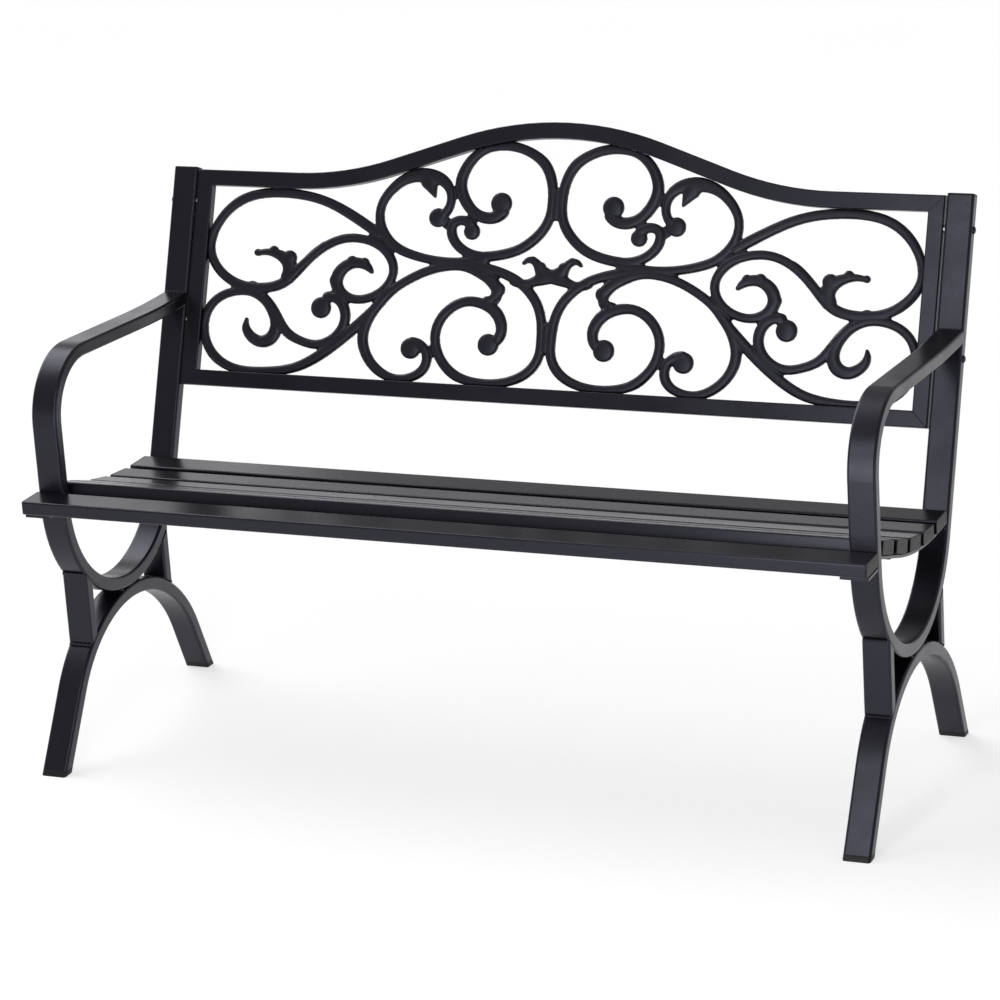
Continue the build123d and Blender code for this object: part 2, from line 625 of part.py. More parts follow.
thorn_shares = ((-0.368, 0.815, 2.00), (-0.358, 0.785, 1.30), (-0.347, 0.750, 0.25))
bow_shares = ((-0.105, 0.425, 1.00), (-0.060, 0.420, 0.90), (-0.025, 0.440, 1.50), (0.0, 0.450, 1.60))
bow_leaf_shares = (
    (-0.020, 0.455, 1.80), (-0.035, 0.480, 1.20), (-0.050, 0.508, 0.85), (-0.066, 0.512, 0.70),
    (-0.080, 0.498, 0.40),
)
high_contact_shares = ((0.0, 0.690, 1.00), (0.0, 0.737, 1.00), (0.0, 0.785, 1.00))
low_contact_shares = ((0.0, 0.155, 1.00), (0.0, 0.202, 1.00), (0.0, 0.250, 1.00))
scroll_lines = (
    outer_loop_shares, inner_curl_shares, outer_leaf_shares, low_loop_shares, low_hook_shares,
    low_mid_shares, low_centre_shares, high_centre_shares, high_curl_shares, high_mid_shares,
    thorn_shares, bow_shares, bow_leaf_shares, high_contact_shares, low_contact_shares,
)
# The balls that end the scrolls, the lobes of the leaves, and the metal that fills the crotches
# where two scrolls touch, each with its radius in scroll widths
ball_shares = (
    (-0.652, 0.281, 1.20), (-0.162, 0.166, 1.22), (-0.157, 0.734, 1.22), (-0.382, 0.135, 1.18),
    (-0.334, 0.667, 1.07), (-0.234, 0.617, 0.94),
)
lobe_shares = (
    (-0.757, 0.478, 0.88), (-0.805, 0.506, 0.55), (-0.852, 0.495, 0.42), (-0.617, 0.395, 0.67),
    (-0.572, 0.477, 0.60), (-0.536, 0.472, 0.58), (-0.146, 0.388, 0.80), (-0.030, 0.489, 0.48),
    (-0.055, 0.512, 0.45),
)
crotch_shares = (
    (-0.290, 0.770, 0.70), (-0.306, 0.645, 0.65), (-0.215, 0.506, 0.80), (-0.325, 0.125, 0.70),
    (-0.612, 0.340, 0.60), (-0.498, 0.585, 0.80), (-0.860, 0.345, 0.90), (-0.630, 0.128, 0.70),
)


def opening_place(station):
    """Place in the backrest's plane of a station's first two shares."""
    across_share, up_share = station[:2]
    return Vector(across_share * opening_half_width, opening_base + up_share * opening_height)


def width_along(reach, reaches, widths):
    """Width at a reach along a line whose widths are known at some reaches, in order."""
    for number in range(1, len(reaches)):
        if reach <= reaches[number]:
            part = (reach - reaches[number - 1]) / (reaches[number] - reaches[number - 1])
            return widths[number - 1] + part * (widths[number] - widths[number - 1])
    return widths[-1]


def scroll(stations):
    """Bar of the casting through its stations, drawn in the sketch that is open."""
    places = [opening_place(station) for station in stations]
    widths = [station[2] * scroll_width for station in stations]
    reaches = [0]
    for number in range(1, len(places)):
        reaches.append(reaches[-1] + (places[number] - places[number - 1]).length)
    with BuildLine() as middle:
        Spline(*places)
    edge = middle.edge()
    steps = max(round(edge.length / scroll_step), fewest_scroll_steps)
    near_side = []
    far_side = []
    for step in range(steps + 1):
        along = step / steps
        heading = edge.tangent_at(along)
        half_width = width_along(along * reaches[-1], reaches, widths) / 2
        aside = Vector(-heading.Y, heading.X) * half_width
        near_side.append(edge.position_at(along) + aside)
        far_side.append(edge.position_at(along) - aside)
    with BuildLine() as outline:
        Spline(*near_side)
        Line(near_side[-1], far_side[-1])
        Spline(*far_side)
        Line(far_side[0], near_side[0])
    make_face(outline.edges())
    for along, width in ((0, widths[0]), (1, widths[-1])):
        with Locations(edge.position_at(along)):
            Circle(width / 2)


with BuildPart() as scroll_panel:
    with BuildSketch(back_plane(frame_mid_depth - casting_depth / 2)) as scroll_outline:
        for stations in scroll_lines:
            scroll(stations)
        for station in ball_shares + lobe_shares + crotch_shares:
            with Locations(opening_place(station)):
                Circle(station[2] * scroll_width)
        mirror(about=Plane.YZ)
        # The opening, less its gap, trims the casting where it meets the frame
        with BuildLine():
            side_reach = opening_half_width - casting_gap
            crown_line(frame_bar_width + casting_gap, side_reach)
            low_edge = opening_base + casting_gap
            high_edge = frame_top - frame_bar_width - casting_gap
            right_corners = [(side_reach, high_edge), (side_reach, low_edge)]
            left_corners = [(-side_reach, low_edge), (-side_reach, high_edge)]
            Polyline(*right_corners, *left_corners)
        make_face(mode=Mode.INTERSECT)
    extrude(amount=-casting_depth)
write(scroll_panel, "scroll_panel")

# Weld beads along the struts' ends, beside the crown, and under the seat's carriers at the posts
tab_under = tab_mid_height - tab_thickness / 2
bar_front_under = bar_front_height - bar_thickness / 2 / cos(fall)
bar_rear_height = seat_place(bar_straight + bar_radius * fall)[1]
bar_rear_under = bar_rear_height - bar_thickness / 2
bar_rear_depth = post_foot_depth + (bar_rear_under - post_foot_height) * tan(lean)
bead_length = tube_width - 2 * tube_corner
for side, sign in sides:
    bead_plane = side_plane(sign * side_x - bead_length / 2)
    with BuildPart() as weld_beads:
        with BuildSketch(bead_plane):
            for strut_middle in (-front_strut_offset, rear_strut_offset):
                for edge_offset in (strut_middle - tube_half_depth, strut_middle + tube_half_depth):
                    arch_rise = sqrt(arch_outer_radius**2 - edge_offset**2)
                    u_drop = sqrt(u_outer_radius**2 - edge_offset**2)
                    with Locations((loop_centre_depth + edge_offset, arch_centre_height + arch_rise)):
                        Circle(bead_radius)
                    with Locations((loop_centre_depth + edge_offset, u_centre_height - u_drop)):
                        Circle(bead_radius)
            for reach in (-crown_bead_reach, crown_bead_reach):
                with Locations((loop_centre_depth + reach, arch_crown_height)):
                    Circle(bead_radius)
            # The U, the arch and the struts that these beads lie against
            with Locations((loop_centre_depth, u_centre_height)):
                Circle(u_outer_radius + weld_gap, mode=Mode.SUBTRACT)
            with Locations((loop_centre_depth, arch_centre_height)):
                Circle(arch_outer_radius + weld_gap, mode=Mode.SUBTRACT)
            for strut_middle in (-front_strut_offset, rear_strut_offset):
                with Locations((loop_centre_depth + strut_middle, arch_crown_height)):
                    Rectangle(tube_depth, arch_crown_height, mode=Mode.SUBTRACT)
        extrude(amount=bead_length)
        with BuildSketch(bead_plane):
            with Locations((front_post_face, tab_under), (front_post_rear, bar_front_under)):
                Circle(bead_radius)
            with Locations((bar_rear_depth, bar_rear_under)):
                Circle(bead_radius)
            # The posts, the tab and the bar that these beads lie against
            with Locations((front_post_face + tube_half_depth, bar_front_height)):
                Rectangle(tube_depth, tube_width, mode=Mode.SUBTRACT)
            with Locations((front_post_face, tab_under + bead_cut_reach / 2)):
                Rectangle(bead_cut_reach, bead_cut_reach, mode=Mode.SUBTRACT)
            with Locations((front_post_rear, bar_front_height)):
                Rectangle(bead_cut_reach, bar_thickness, rotation=-bar_fall, mode=Mode.SUBTRACT)
            with Locations((bar_rear_depth, bar_rear_height)):
                Rectangle(bead_cut_reach, bar_thickness, mode=Mode.SUBTRACT)
            with Locations(post_place((bar_rear_under - post_foot_height) / cos(lean), tube_half_depth)):
                Rectangle(tube_depth, tube_width, rotation=-back_lean, mode=Mode.SUBTRACT)
        extrude(amount=bead_length)
    write(weld_beads, f"{side}_weld_beads")
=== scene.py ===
# %% [markdown]
# # A garden bench of bent steel tube with a cast scroll back
#
# The bench was drawn in CAD first, and this file dresses that drawing for a picture. It has
# two side frames of flat steel tube, each a loop (back post, U under the seat, front post and
# arm) on an arched pair of legs. Six flat tubes make the seat, and a mitred frame between the
# posts holds an iron casting of scrolls. All of it is coated in one satin black powder coat.
#
# Each step below says what a piece is on the real bench, how it could be made in Blender and
# why one way was chosen. Everything is in metres, and the front of the bench faces -Y.

# %% Load the drawing
import json
from math import cos, pi, radians, sin

import bmesh
import bpy
import numpy as np
from mathutils import Matrix, Vector
from mathutils.kdtree import KDTree


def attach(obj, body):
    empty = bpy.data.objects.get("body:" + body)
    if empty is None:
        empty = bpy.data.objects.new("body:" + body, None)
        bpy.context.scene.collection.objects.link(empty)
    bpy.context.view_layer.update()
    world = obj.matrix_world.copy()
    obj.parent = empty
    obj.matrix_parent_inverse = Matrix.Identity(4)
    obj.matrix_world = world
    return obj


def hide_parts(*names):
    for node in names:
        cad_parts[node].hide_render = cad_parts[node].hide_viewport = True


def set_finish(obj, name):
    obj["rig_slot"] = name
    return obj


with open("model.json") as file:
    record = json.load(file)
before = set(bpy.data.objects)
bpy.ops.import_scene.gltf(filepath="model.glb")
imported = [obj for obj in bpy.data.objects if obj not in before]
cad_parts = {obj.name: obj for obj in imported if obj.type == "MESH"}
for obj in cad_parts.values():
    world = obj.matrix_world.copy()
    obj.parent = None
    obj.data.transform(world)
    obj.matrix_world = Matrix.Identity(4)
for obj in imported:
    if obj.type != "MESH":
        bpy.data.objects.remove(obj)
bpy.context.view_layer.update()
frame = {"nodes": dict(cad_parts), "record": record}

MM = 0.001
nodes = frame["nodes"]

# %% [markdown]
# ## Small tools for pieces
#
# The drawn pieces come in as loose triangles. A piece that needs rounder edges or a worn
# surface is made from a copy whose doubled points are merged, because a bevel or a remesh
# needs faces that know their neighbours. Smooth shading then stops at edges sharper than a
# given angle, which is what the editor calls auto smooth. A modifier could stay live on a
# piece, but once it is applied, the piece has the same mesh wherever it is used.

# %% Copy, finish and place a piece
SMOOTH_ANGLE = radians(32)
WELD_DISTANCE = 0.01 * MM


def merged_copy(name):
    """The faces of a drawn piece as one closed bmesh."""
    bm = bmesh.new()
    bm.from_mesh(nodes[name].data)
    bmesh.ops.remove_doubles(bm, verts=bm.verts, dist=WELD_DISTANCE)
    return bm


def finish_piece(bm, name, slot, *stands_for):
    """Turn a bmesh into a smooth-shaded object that stands for the named drawn pieces."""
    bmesh.ops.recalc_face_normals(bm, faces=bm.faces)
    mesh = bpy.data.meshes.new(name)
    bm.to_mesh(mesh)
    bm.free()
    mesh.shade_smooth()
    mesh.set_sharp_from_angle(angle=SMOOTH_ANGLE)
    piece = bpy.data.objects.new(name, mesh)
    bpy.context.scene.collection.objects.link(piece)
    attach(piece, "root")
    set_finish(piece, slot)
    if stands_for:
        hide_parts(*stands_for)
    print(name, len(mesh.polygons), "faces")
    return piece


def keep_modified(piece):
    """Apply a piece's modifiers, and hand back the mesh that this gives."""
    bpy.context.view_layer.update()
    graph = bpy.context.evaluated_depsgraph_get()
    mesh = bpy.data.meshes.new_from_object(piece.evaluated_get(graph))
    piece.modifiers.clear()
    piece.data = mesh
    return mesh


def islands(bm):
    """The separate solids in a bmesh, each as a list of its vertices."""
    left = set(bm.verts)
    groups = []
    for start in bm.verts:
        if start not in left:
            continue
        left.discard(start)
        group = [start]
        for vert in group:
            for edge in vert.link_edges:
                other = edge.other_vert(vert)
                if other in left:
                    left.discard(other)
                    group.append(other)
        groups.append(group)
    return groups


# %% [markdown]
# ## The backrest's plane
#
# The backrest leans, so its pieces are easiest to place by how far they are across the bench,
# up the backrest and out of it. The plane is read from the drawing: the casting is flat, so
# its points spread least along the direction that the backrest faces. The frame's opening
# comes from the rails and stiles around it.

# %% Read the backrest's plane and opening
def points_of(name):
    """The points of a drawn piece, one row each."""
    flat = np.empty(len(nodes[name].data.vertices) * 3)
    nodes[name].data.vertices.foreach_get("co", flat)
    return flat.reshape(-1, 3)


panel = points_of("scroll_panel")
across = np.array((1.0, 0.0, 0.0))
out = np.linalg.svd(panel - panel.mean(axis=0), full_matrices=False)[2][2]
out = -out if out[1] > 0 else out
upward = np.cross(out, across)
rail_heights = points_of("bottom_rail") @ upward
bar_width = rail_heights.max() - rail_heights.min()
opening_base = rail_heights.max()
opening_height = (points_of("top_rail") @ upward).max() - bar_width - opening_base
opening_half_width = points_of("right_stile")[:, 0].min()
print("opening", round(2 * opening_half_width / MM, 1), "by", round(opening_height / MM, 1), "mm")


def backrest_place(aside, up, depth):
    """A place in the scene from its reach across the bench, up the backrest and out of it."""
    return Vector(across * aside + upward * up + out * depth)


# %% [markdown]
# ## The pattern of the casting
#
# Fifteen scrolls, drawn for the left half and mirrored, make the pattern. Each is a row of
# stations: across the opening from its middle in half widths, up in heights, and how wide the
# bar is there in scroll widths. Balls end the scrolls, lobes make the leaves, and small
# fillets fill the crotches. Shares keep the pattern in the opening whatever its size.

# %% Stations of the scrolls
SCROLL_WIDTH_SHARE = 0.0294
outer_loop_shares = (
    (-0.498, 0.590, 1.20), (-0.565, 0.648, 1.20), (-0.668, 0.718, 1.10), (-0.788, 0.744, 1.10),
    (-0.909, 0.712, 1.10), (-0.981, 0.601, 1.00), (-0.993, 0.493, 1.00), (-0.927, 0.377, 1.10),
    (-0.845, 0.350, 1.15), (-0.774, 0.372, 1.20), (-0.712, 0.458, 1.05), (-0.655, 0.535, 1.00),
)
inner_curl_shares = (
    (-0.712, 0.458, 1.05), (-0.655, 0.532, 1.00), (-0.600, 0.567, 1.00), (-0.544, 0.568, 1.00),
    (-0.480, 0.528, 1.05), (-0.450, 0.450, 1.00), (-0.466, 0.380, 1.00), (-0.507, 0.335, 1.00),
    (-0.555, 0.322, 1.00), (-0.595, 0.345, 1.20), (-0.613, 0.390, 1.50), (-0.603, 0.435, 1.40),
    (-0.572, 0.468, 1.25), (-0.538, 0.466, 1.15), (-0.513, 0.437, 0.50),
)
outer_leaf_shares = (
    (-0.757, 0.400, 1.70), (-0.757, 0.455, 1.70), (-0.785, 0.487, 1.20), (-0.820, 0.499, 0.80),
    (-0.853, 0.492, 0.65),
)
low_loop_shares = (
    (-0.868, 0.220, 0.35), (-0.868, 0.180, 0.95), (-0.850, 0.147, 1.20), (-0.820, 0.130, 1.35),
    (-0.790, 0.150, 1.50), (-0.780, 0.200, 1.40), (-0.792, 0.250, 1.20), (-0.820, 0.300, 1.05),
    (-0.862, 0.331, 1.00), (-0.905, 0.332, 1.00), (-0.950, 0.309, 1.00), (-0.984, 0.257, 1.00),
    (-0.994, 0.175, 1.00), (-0.964, 0.072, 1.10), (-0.898, 0.016, 1.05), (-0.810, 0.009, 1.00),
    (-0.712, 0.033, 1.10), (-0.615, 0.120, 1.20), (-0.544, 0.213, 1.25), (-0.502, 0.275, 1.20),
)
low_hook_shares = (
    (-0.820, 0.309, 1.00), (-0.780, 0.238, 1.10), (-0.745, 0.172, 1.10), (-0.700, 0.140, 1.00),
    (-0.655, 0.130, 1.05), (-0.608, 0.160, 1.10), (-0.583, 0.210, 1.15), (-0.580, 0.265, 1.20),
    (-0.600, 0.315, 1.20), (-0.636, 0.326, 1.20),
)
low_mid_shares = (
    (-0.380, 0.163, 1.00), (-0.346, 0.142, 1.00), (-0.333, 0.100, 1.10), (-0.342, 0.052, 1.10),
    (-0.378, 0.017, 1.00), (-0.424, 0.010, 1.00), (-0.470, 0.038, 1.10), (-0.507, 0.095, 1.15),
    (-0.523, 0.170, 1.25), (-0.508, 0.255, 1.20), (-0.475, 0.325, 1.15), (-0.445, 0.370, 1.00),
    (-0.397, 0.418, 1.00), (-0.352, 0.450, 1.00), (-0.297, 0.472, 1.00), (-0.245, 0.474, 1.10),
    (-0.195, 0.448, 1.30), (-0.160, 0.412, 1.40), (-0.148, 0.375, 1.30), (-0.175, 0.340, 1.10),
)
low_centre_shares = (
    (-0.137, 0.185, 1.10), (-0.128, 0.240, 1.30), (-0.150, 0.300, 1.35), (-0.190, 0.330, 1.20),
    (-0.235, 0.334, 1.10), (-0.290, 0.285, 1.10), (-0.314, 0.205, 1.10), (-0.299, 0.110, 1.10),
    (-0.246, 0.034, 1.15), (-0.190, 0.013, 1.00), (-0.137, 0.012, 1.00), (-0.093, 0.025, 1.05),
    (-0.045, 0.064, 1.10), (-0.018, 0.125, 1.10), (-0.014, 0.205, 1.10), (-0.021, 0.290, 1.10),
    (-0.045, 0.362, 1.10), (-0.095, 0.427, 1.10), (-0.146, 0.459, 1.10), (-0.196, 0.475, 1.10),
    (-0.245, 0.482, 1.00),
)
high_centre_shares = (
    (-0.150, 0.700, 1.30), (-0.186, 0.673, 1.35), (-0.228, 0.690, 1.25), (-0.260, 0.740, 1.30),
    (-0.276, 0.805, 1.35), (-0.268, 0.862, 1.25), (-0.248, 0.910, 1.15), (-0.211, 0.952, 1.05),
    (-0.166, 0.966, 1.10), (-0.130, 0.963, 1.10), (-0.090, 0.945, 1.10), (-0.042, 0.895, 1.20),
    (-0.018, 0.815, 1.15), (-0.014, 0.740, 1.10), (-0.019, 0.680, 1.10), (-0.041, 0.620, 1.15),
    (-0.091, 0.557, 1.15), (-0.146, 0.528, 1.15), (-0.196, 0.518, 1.10),
)
high_curl_shares = (
    (-0.146, 0.528, 1.10), (-0.196, 0.518, 1.10), (-0.240, 0.530, 1.10), (-0.272, 0.560, 1.10),
    (-0.291, 0.605, 1.15), (-0.287, 0.648, 1.10), (-0.262, 0.660, 1.10), (-0.236, 0.645, 1.10),
)
high_mid_shares = (
    (-0.320, 0.678, 1.00), (-0.302, 0.722, 1.00), (-0.303, 0.768, 1.00), (-0.318, 0.806, 1.20),
    (-0.350, 0.832, 1.50), (-0.392, 0.837, 1.60), (-0.432, 0.822, 1.30), (-0.470, 0.780, 1.10),
    (-0.497, 0.720, 1.00), (-0.502, 0.660, 1.05), (-0.487, 0.598, 1.15), (-0.447, 0.541, 1.10),
    (-0.397, 0.512, 1.05), (-0.347, 0.497, 1.00), (-0.297, 0.491, 1.00), (-0.240, 0.493, 1.10),
    (-0.190, 0.503, 1.00),
)
thorn_shares = ((-0.368, 0.815, 2.00), (-0.358, 0.785, 1.30), (-0.347, 0.750, 0.25))
bow_shares = ((-0.105, 0.425, 1.00), (-0.060, 0.420, 0.90), (-0.025, 0.440, 1.50), (0.0, 0.450, 1.60))
bow_leaf_shares = (
    (-0.020, 0.455, 1.80), (-0.035, 0.480, 1.20), (-0.050, 0.508, 0.85), (-0.066, 0.512, 0.70),
    (-0.080, 0.498, 0.40),
)
high_contact_shares = ((0.0, 0.690, 1.00), (0.0, 0.737, 1.00), (0.0, 0.785, 1.00))
low_contact_shares = ((0.0, 0.155, 1.00), (0.0, 0.202, 1.00), (0.0, 0.250, 1.00))
scroll_lines = (
    outer_loop_shares, inner_curl_shares, outer_leaf_shares, low_loop_shares, low_hook_shares,
    low_mid_shares, low_centre_shares, high_centre_shares, high_curl_shares, high_mid_shares,
    thorn_shares, bow_shares, bow_leaf_shares, high_contact_shares, low_contact_shares,
)
ball_shares = (
    (-0.652, 0.281, 1.20), (-0.162, 0.166, 1.22), (-0.157, 0.734, 1.22), (-0.382, 0.135, 1.18),
    (-0.334, 0.667, 1.07), (-0.234, 0.617, 0.94),
)
lobe_shares = (
    (-0.757, 0.478, 0.88), (-0.805, 0.506, 0.55), (-0.852, 0.495, 0.42), (-0.617, 0.395, 0.67),
    (-0.572, 0.477, 0.60), (-0.536, 0.472, 0.58), (-0.146, 0.388, 0.80), (-0.030, 0.489, 0.48),
    (-0.055, 0.512, 0.45),
)
crotch_shares = (
    (-0.290, 0.770, 0.70), (-0.306, 0.645, 0.65), (-0.215, 0.506, 0.80), (-0.325, 0.125, 0.70),
    (-0.612, 0.340, 0.60), (-0.498, 0.585, 0.80), (-0.860, 0.345, 0.90), (-0.630, 0.128, 0.70),
)
print(len(scroll_lines), "scrolls and", len(ball_shares + lobe_shares), "balls and lobes a side")

# %% [markdown]
# ## The scroll casting
#
# The scrolls are poured in a sand mould from a carved pattern, so their edges are worn round
# and their faces are soft. The drawing has square edges. A bevel can't round them all, as
# its strips would cross in the narrow angles, so a voxel remesh builds the skin anew with
# one even size of face, and a light smoothing rounds what was sharp. The outline stays as
# drawn.

# %% Remesh and soften the drawn casting
CASTING_VOXEL = 1.6 * MM
CASTING_SMOOTHING = 4

casting = finish_piece(merged_copy("scroll_panel"), "scroll_casting", "casting", "scroll_panel")
remesh = casting.modifiers.new("sand mould", "REMESH")
remesh.mode = "VOXEL"
remesh.voxel_size = CASTING_VOXEL
remesh.use_smooth_shade = True
wear = casting.modifiers.new("rounded pattern", "SMOOTH")
wear.factor = 0.5
wear.iterations = CASTING_SMOOTHING

poured = keep_modified(casting)
print("casting:", len(poured.polygons), "faces")

# %% [markdown]
# A carved pattern isn't flat in front: each bar is half-round, and where two bars run
# together a groove stays between them. That relief is what the light shows. It is carved
# here by sinking each front point by how far it is from the middle of the nearest bar, as a
# share of the bar's half width. So the middles of the scrolls are laid out first, as smooth
# runs through their stations, and kept in a tree that finds the near ones quickly.

# %% Lay out the middles of the bars
RUN_STEP = 1.5 * MM
scroll_width = SCROLL_WIDTH_SHARE * (opening_half_width * opening_height) ** 0.5


def flat_place(station, side):
    """A station as its place across, its height up the backrest and its half width."""
    reach = (side * station[0] * opening_half_width, opening_base + station[1] * opening_height)
    return np.array(reach + (station[2] * scroll_width / 2,))


def smooth_run(stations, side):
    """Places along the Catmull-Rom curve that passes through all the stations of one scroll."""
    spots = [flat_place(station, side) for station in stations]
    spots = [2 * spots[0] - spots[1], *spots, 2 * spots[-1] - spots[-2]]
    run = []
    for before, start, end, after in zip(spots, spots[1:], spots[2:], spots[3:]):
        square = 2 * before - 5 * start + 4 * end - after
        cube = 3 * start - before - 3 * end + after
        for t in np.arange(0, 1, RUN_STEP / np.linalg.norm(end - start)):
            run.append(start + (end - before + square * t + cube * t * t) * t / 2)
    return run


middles = []
for side in (-1, 1):
    for stations in scroll_lines:
        middles += smooth_run(stations, side)
    # A ball's radius is given in scroll widths, and a bar's half width in halves of that
    middles += [flat_place((*spot[:2], 2 * spot[2]), side) for spot in ball_shares + lobe_shares]
tree = KDTree(len(middles))
for number, middle in enumerate(middles):
    tree.insert((middle[0], middle[1], 0.0), number)
tree.balance()
print(len(middles), "middles along the bars")

# %% [markdown]
# A bar's middle keeps its full height and its edge keeps a share of it. The back part of
# the casting's thickness isn't touched, so its sides stay upright there.

# %% Carve the half-round fronts and the grooves
EDGE_SHARE = 0.45
BACK_SHARE = 0.35

widest = max(middle[2] for middle in middles)
back_depth = (panel @ out).min()
thickness = (panel @ out).max() - back_depth
flat = np.empty(len(poured.vertices) * 3)
poured.vertices.foreach_get("co", flat)
skin = flat.reshape(-1, 3)
depths = skin @ out - back_depth
sunk = np.zeros(len(skin))
for number, (aside, up) in enumerate(zip(skin[:, 0], skin @ upward)):
    if depths[number] > BACK_SHARE * thickness:
        near = tree.find_range((aside, up, 0.0), widest)
        share = min([1.0] + [distance / middles[spot][2] for _, spot, distance in near])
        crest = EDGE_SHARE + (1 - EDGE_SHARE) * (1 - share * share) ** 0.5
        sunk[number] = (depths[number] - BACK_SHARE * thickness) * (1 - crest)
skin -= sunk[:, None] * out
poured.vertices.foreach_set("co", skin.ravel())
poured.update()
print("deepest groove", round(sunk.max() / MM, 1), "mm")

# %% [markdown]
# The flat back has far more faces than it needs. Collapsing the edges that carry no shape
# thins it and leaves the carved front as it is, which a coarser remesh wouldn't.

# %% Thin the flat back
THINNED_SHARE = 0.44

thin = casting.modifiers.new("thin flat places", "DECIMATE")
thin.ratio = THINNED_SHARE
thinned = keep_modified(casting)
print("casting:", len(thinned.polygons), "faces after thinning")

# %% [markdown]
# ## Weld beads
#
# A torch lays a bead as a row of small pools, each half over the last, which leaves the
# ripple of a stack of coins. A half-round bar with a bump map would look flat in a close
# view, so each pool is a flattened sphere. The drawing already holds a plain bead at each
# joint, and each rippled one lies along the long side of one of those.

# %% Lay rippled beads where the drawing has plain ones
POOL_STEP = 2.4 * MM
POOL_SIDES = 12
POOL_RINGS = 7
POOL_LENGTH_SHARE = 0.75
LARGE_POOL_SHARE = 0.07
SMALL_POOL_SHARE = 0.05
BEAD_RADIUS = 2.7 * MM


def lay_bead(bm, start, end, radius, flatness=1.0):
    """Row of overlapping pools from start to end, flattened across the line by flatness."""
    run = end - start
    count = max(2, round(run.length / POOL_STEP))
    turn = run.to_track_quat("X", "Z").to_matrix().to_4x4()
    for number in range(count + 1):
        # Every third pool is a little larger and every fifth a little smaller, as by hand
        swell = 1.0 + LARGE_POOL_SHARE * (number % 3 == 0) - SMALL_POOL_SHARE * (number % 5 == 0)
        place = Matrix.Translation(start + run * (number / count))
        shape = Matrix.Diagonal((radius * POOL_LENGTH_SHARE, radius * swell, radius * swell * flatness, 1.0))
        bmesh.ops.create_uvsphere(
            bm, u_segments=POOL_SIDES, v_segments=POOL_RINGS, radius=1.0, matrix=place @ turn @ shape)


for side in ("left", "right"):
    drawn = merged_copy(f"{side}_weld_beads")
    bm = bmesh.new()
    beads = 0
    for group in islands(drawn):
        corners = np.array([vert.co for vert in group])
        low, high = corners.min(axis=0), corners.max(axis=0)
        middle = (low + high) / 2
        start = Vector((low[0], middle[1], middle[2]))
        end = Vector((high[0], middle[1], middle[2]))
        lay_bead(bm, start, end, BEAD_RADIUS)
        beads += 1
    drawn.free()
    finish_piece(bm, f"{side}_rippled_welds", "weld", f"{side}_weld_beads")
    print(side, beads, "beads")

# %% [markdown]
# The backrest's corners are mitred and welded, and the welds are then ground nearly flush.
# What is left is a low, narrow ridge along each mitre, in front and behind.

# %% Lay the ground welds on the backrest's mitres
RIDGE_RADIUS = 1.3 * MM
RIDGE_FLATNESS = 0.4
RIDGE_INSET = 2.5 * MM

bm = bmesh.new()
stile_heights = points_of("right_stile") @ upward
stile_depths = points_of("right_stile") @ out
outer_edge = points_of("right_stile")[:, 0].max()
for side in (-1, 1):
    for height, turn in ((stile_heights.min(), 1), (stile_heights.max(), -1)):
        for depth in (stile_depths.min(), stile_depths.max()):
            start = backrest_place(side * (outer_edge - RIDGE_INSET), height + turn * RIDGE_INSET, depth)
            reach = bar_width - RIDGE_INSET
            end = backrest_place(side * (outer_edge - reach), height + turn * reach, depth)
            lay_bead(bm, start, end, RIDGE_RADIUS, RIDGE_FLATNESS)
finish_piece(bm, "ground_mitre_welds", "weld")

# %% [markdown]
# Each arm's end is welded to its post above and below. Where an arm meets its post could be
# typed in, but it is found by looking, which follows the drawing: one ray runs back over or
# under the arm until it meets the post, a second turns from there to the arm, and a third
# runs back along the arm's face to the corner that the bead fills.

# %% Find where the arms meet their posts, and weld them
ARM_BEAD_RADIUS = 2.2 * MM
CORNER_CLEARANCE = 5.0 * MM
LOOK_CLEARANCE = 8.0 * MM
LOOK_REACH = 150.0 * MM
UNDER_ARM_DROP = 52.0 * MM

for side in ("left", "right"):
    loop = nodes[f"{side}_side_loop"]
    places = points_of(f"{side}_side_loop")
    middle = (places[:, 0].min() + places[:, 0].max()) / 2
    half_width = (places[:, 0].max() - places[:, 0].min()) / 2 - CORNER_CLEARANCE
    arm_front = Vector((middle, places[:, 1].min() + LOOK_REACH, places[:, 2].max()))
    arm_top = loop.ray_cast(arm_front, Vector((0, 0, -1)))[1]
    bm = bmesh.new()
    for level, turn in ((arm_top.z + LOOK_CLEARANCE, -1), (arm_top.z - UNDER_ARM_DROP, 1)):
        post = loop.ray_cast(Vector((middle, arm_front.y, level)), Vector((0, 1, 0)))[1]
        from_post = Vector((middle, post.y - LOOK_CLEARANCE, post.z))
        arm = loop.ray_cast(from_post, Vector((0, 0, turn)))[1]
        beside_arm = Vector((middle, from_post.y, arm.z - turn * MM))
        corner = loop.ray_cast(beside_arm, Vector((0, 1, 0)))[1]
        start = Vector((middle - half_width, corner.y, arm.z))
        end = Vector((middle + half_width, corner.y, arm.z))
        lay_bead(bm, start, end, ARM_BEAD_RADIUS)
        print(side, "arm meets its post at", [round(v / MM, 1) for v in corner])
    finish_piece(bm, f"{side}_arm_welds", "weld")

# %% [markdown]
# ## Button-head bolts
#
# The back is bolted through the posts with button-head screws. The head is pressed from
# wire, so its top is a low dome with a hexagon recess and its rim is a thin upright land.
# A dome could be cut from a sphere, but growing rings outward from the recess gives the
# hexagon walls, the dome and the land in one skin. Each bolt's axis and place are read
# from the drawn bolt: a bolt is long and thin, so its points spread most along its axis.

# %% Grow one bolt, then set one at each drawn place
HEAD_RADIUS = 5.5 * MM
HEAD_HEIGHT = 3.0 * MM
SHANK_RADIUS = 3.0 * MM
SOCKET_RADIUS = 2.3 * MM
SOCKET_DEPTH = 1.8 * MM
DOME_RINGS = 5
LAND_HEIGHT = 0.7 * MM
HEXAGON = 6


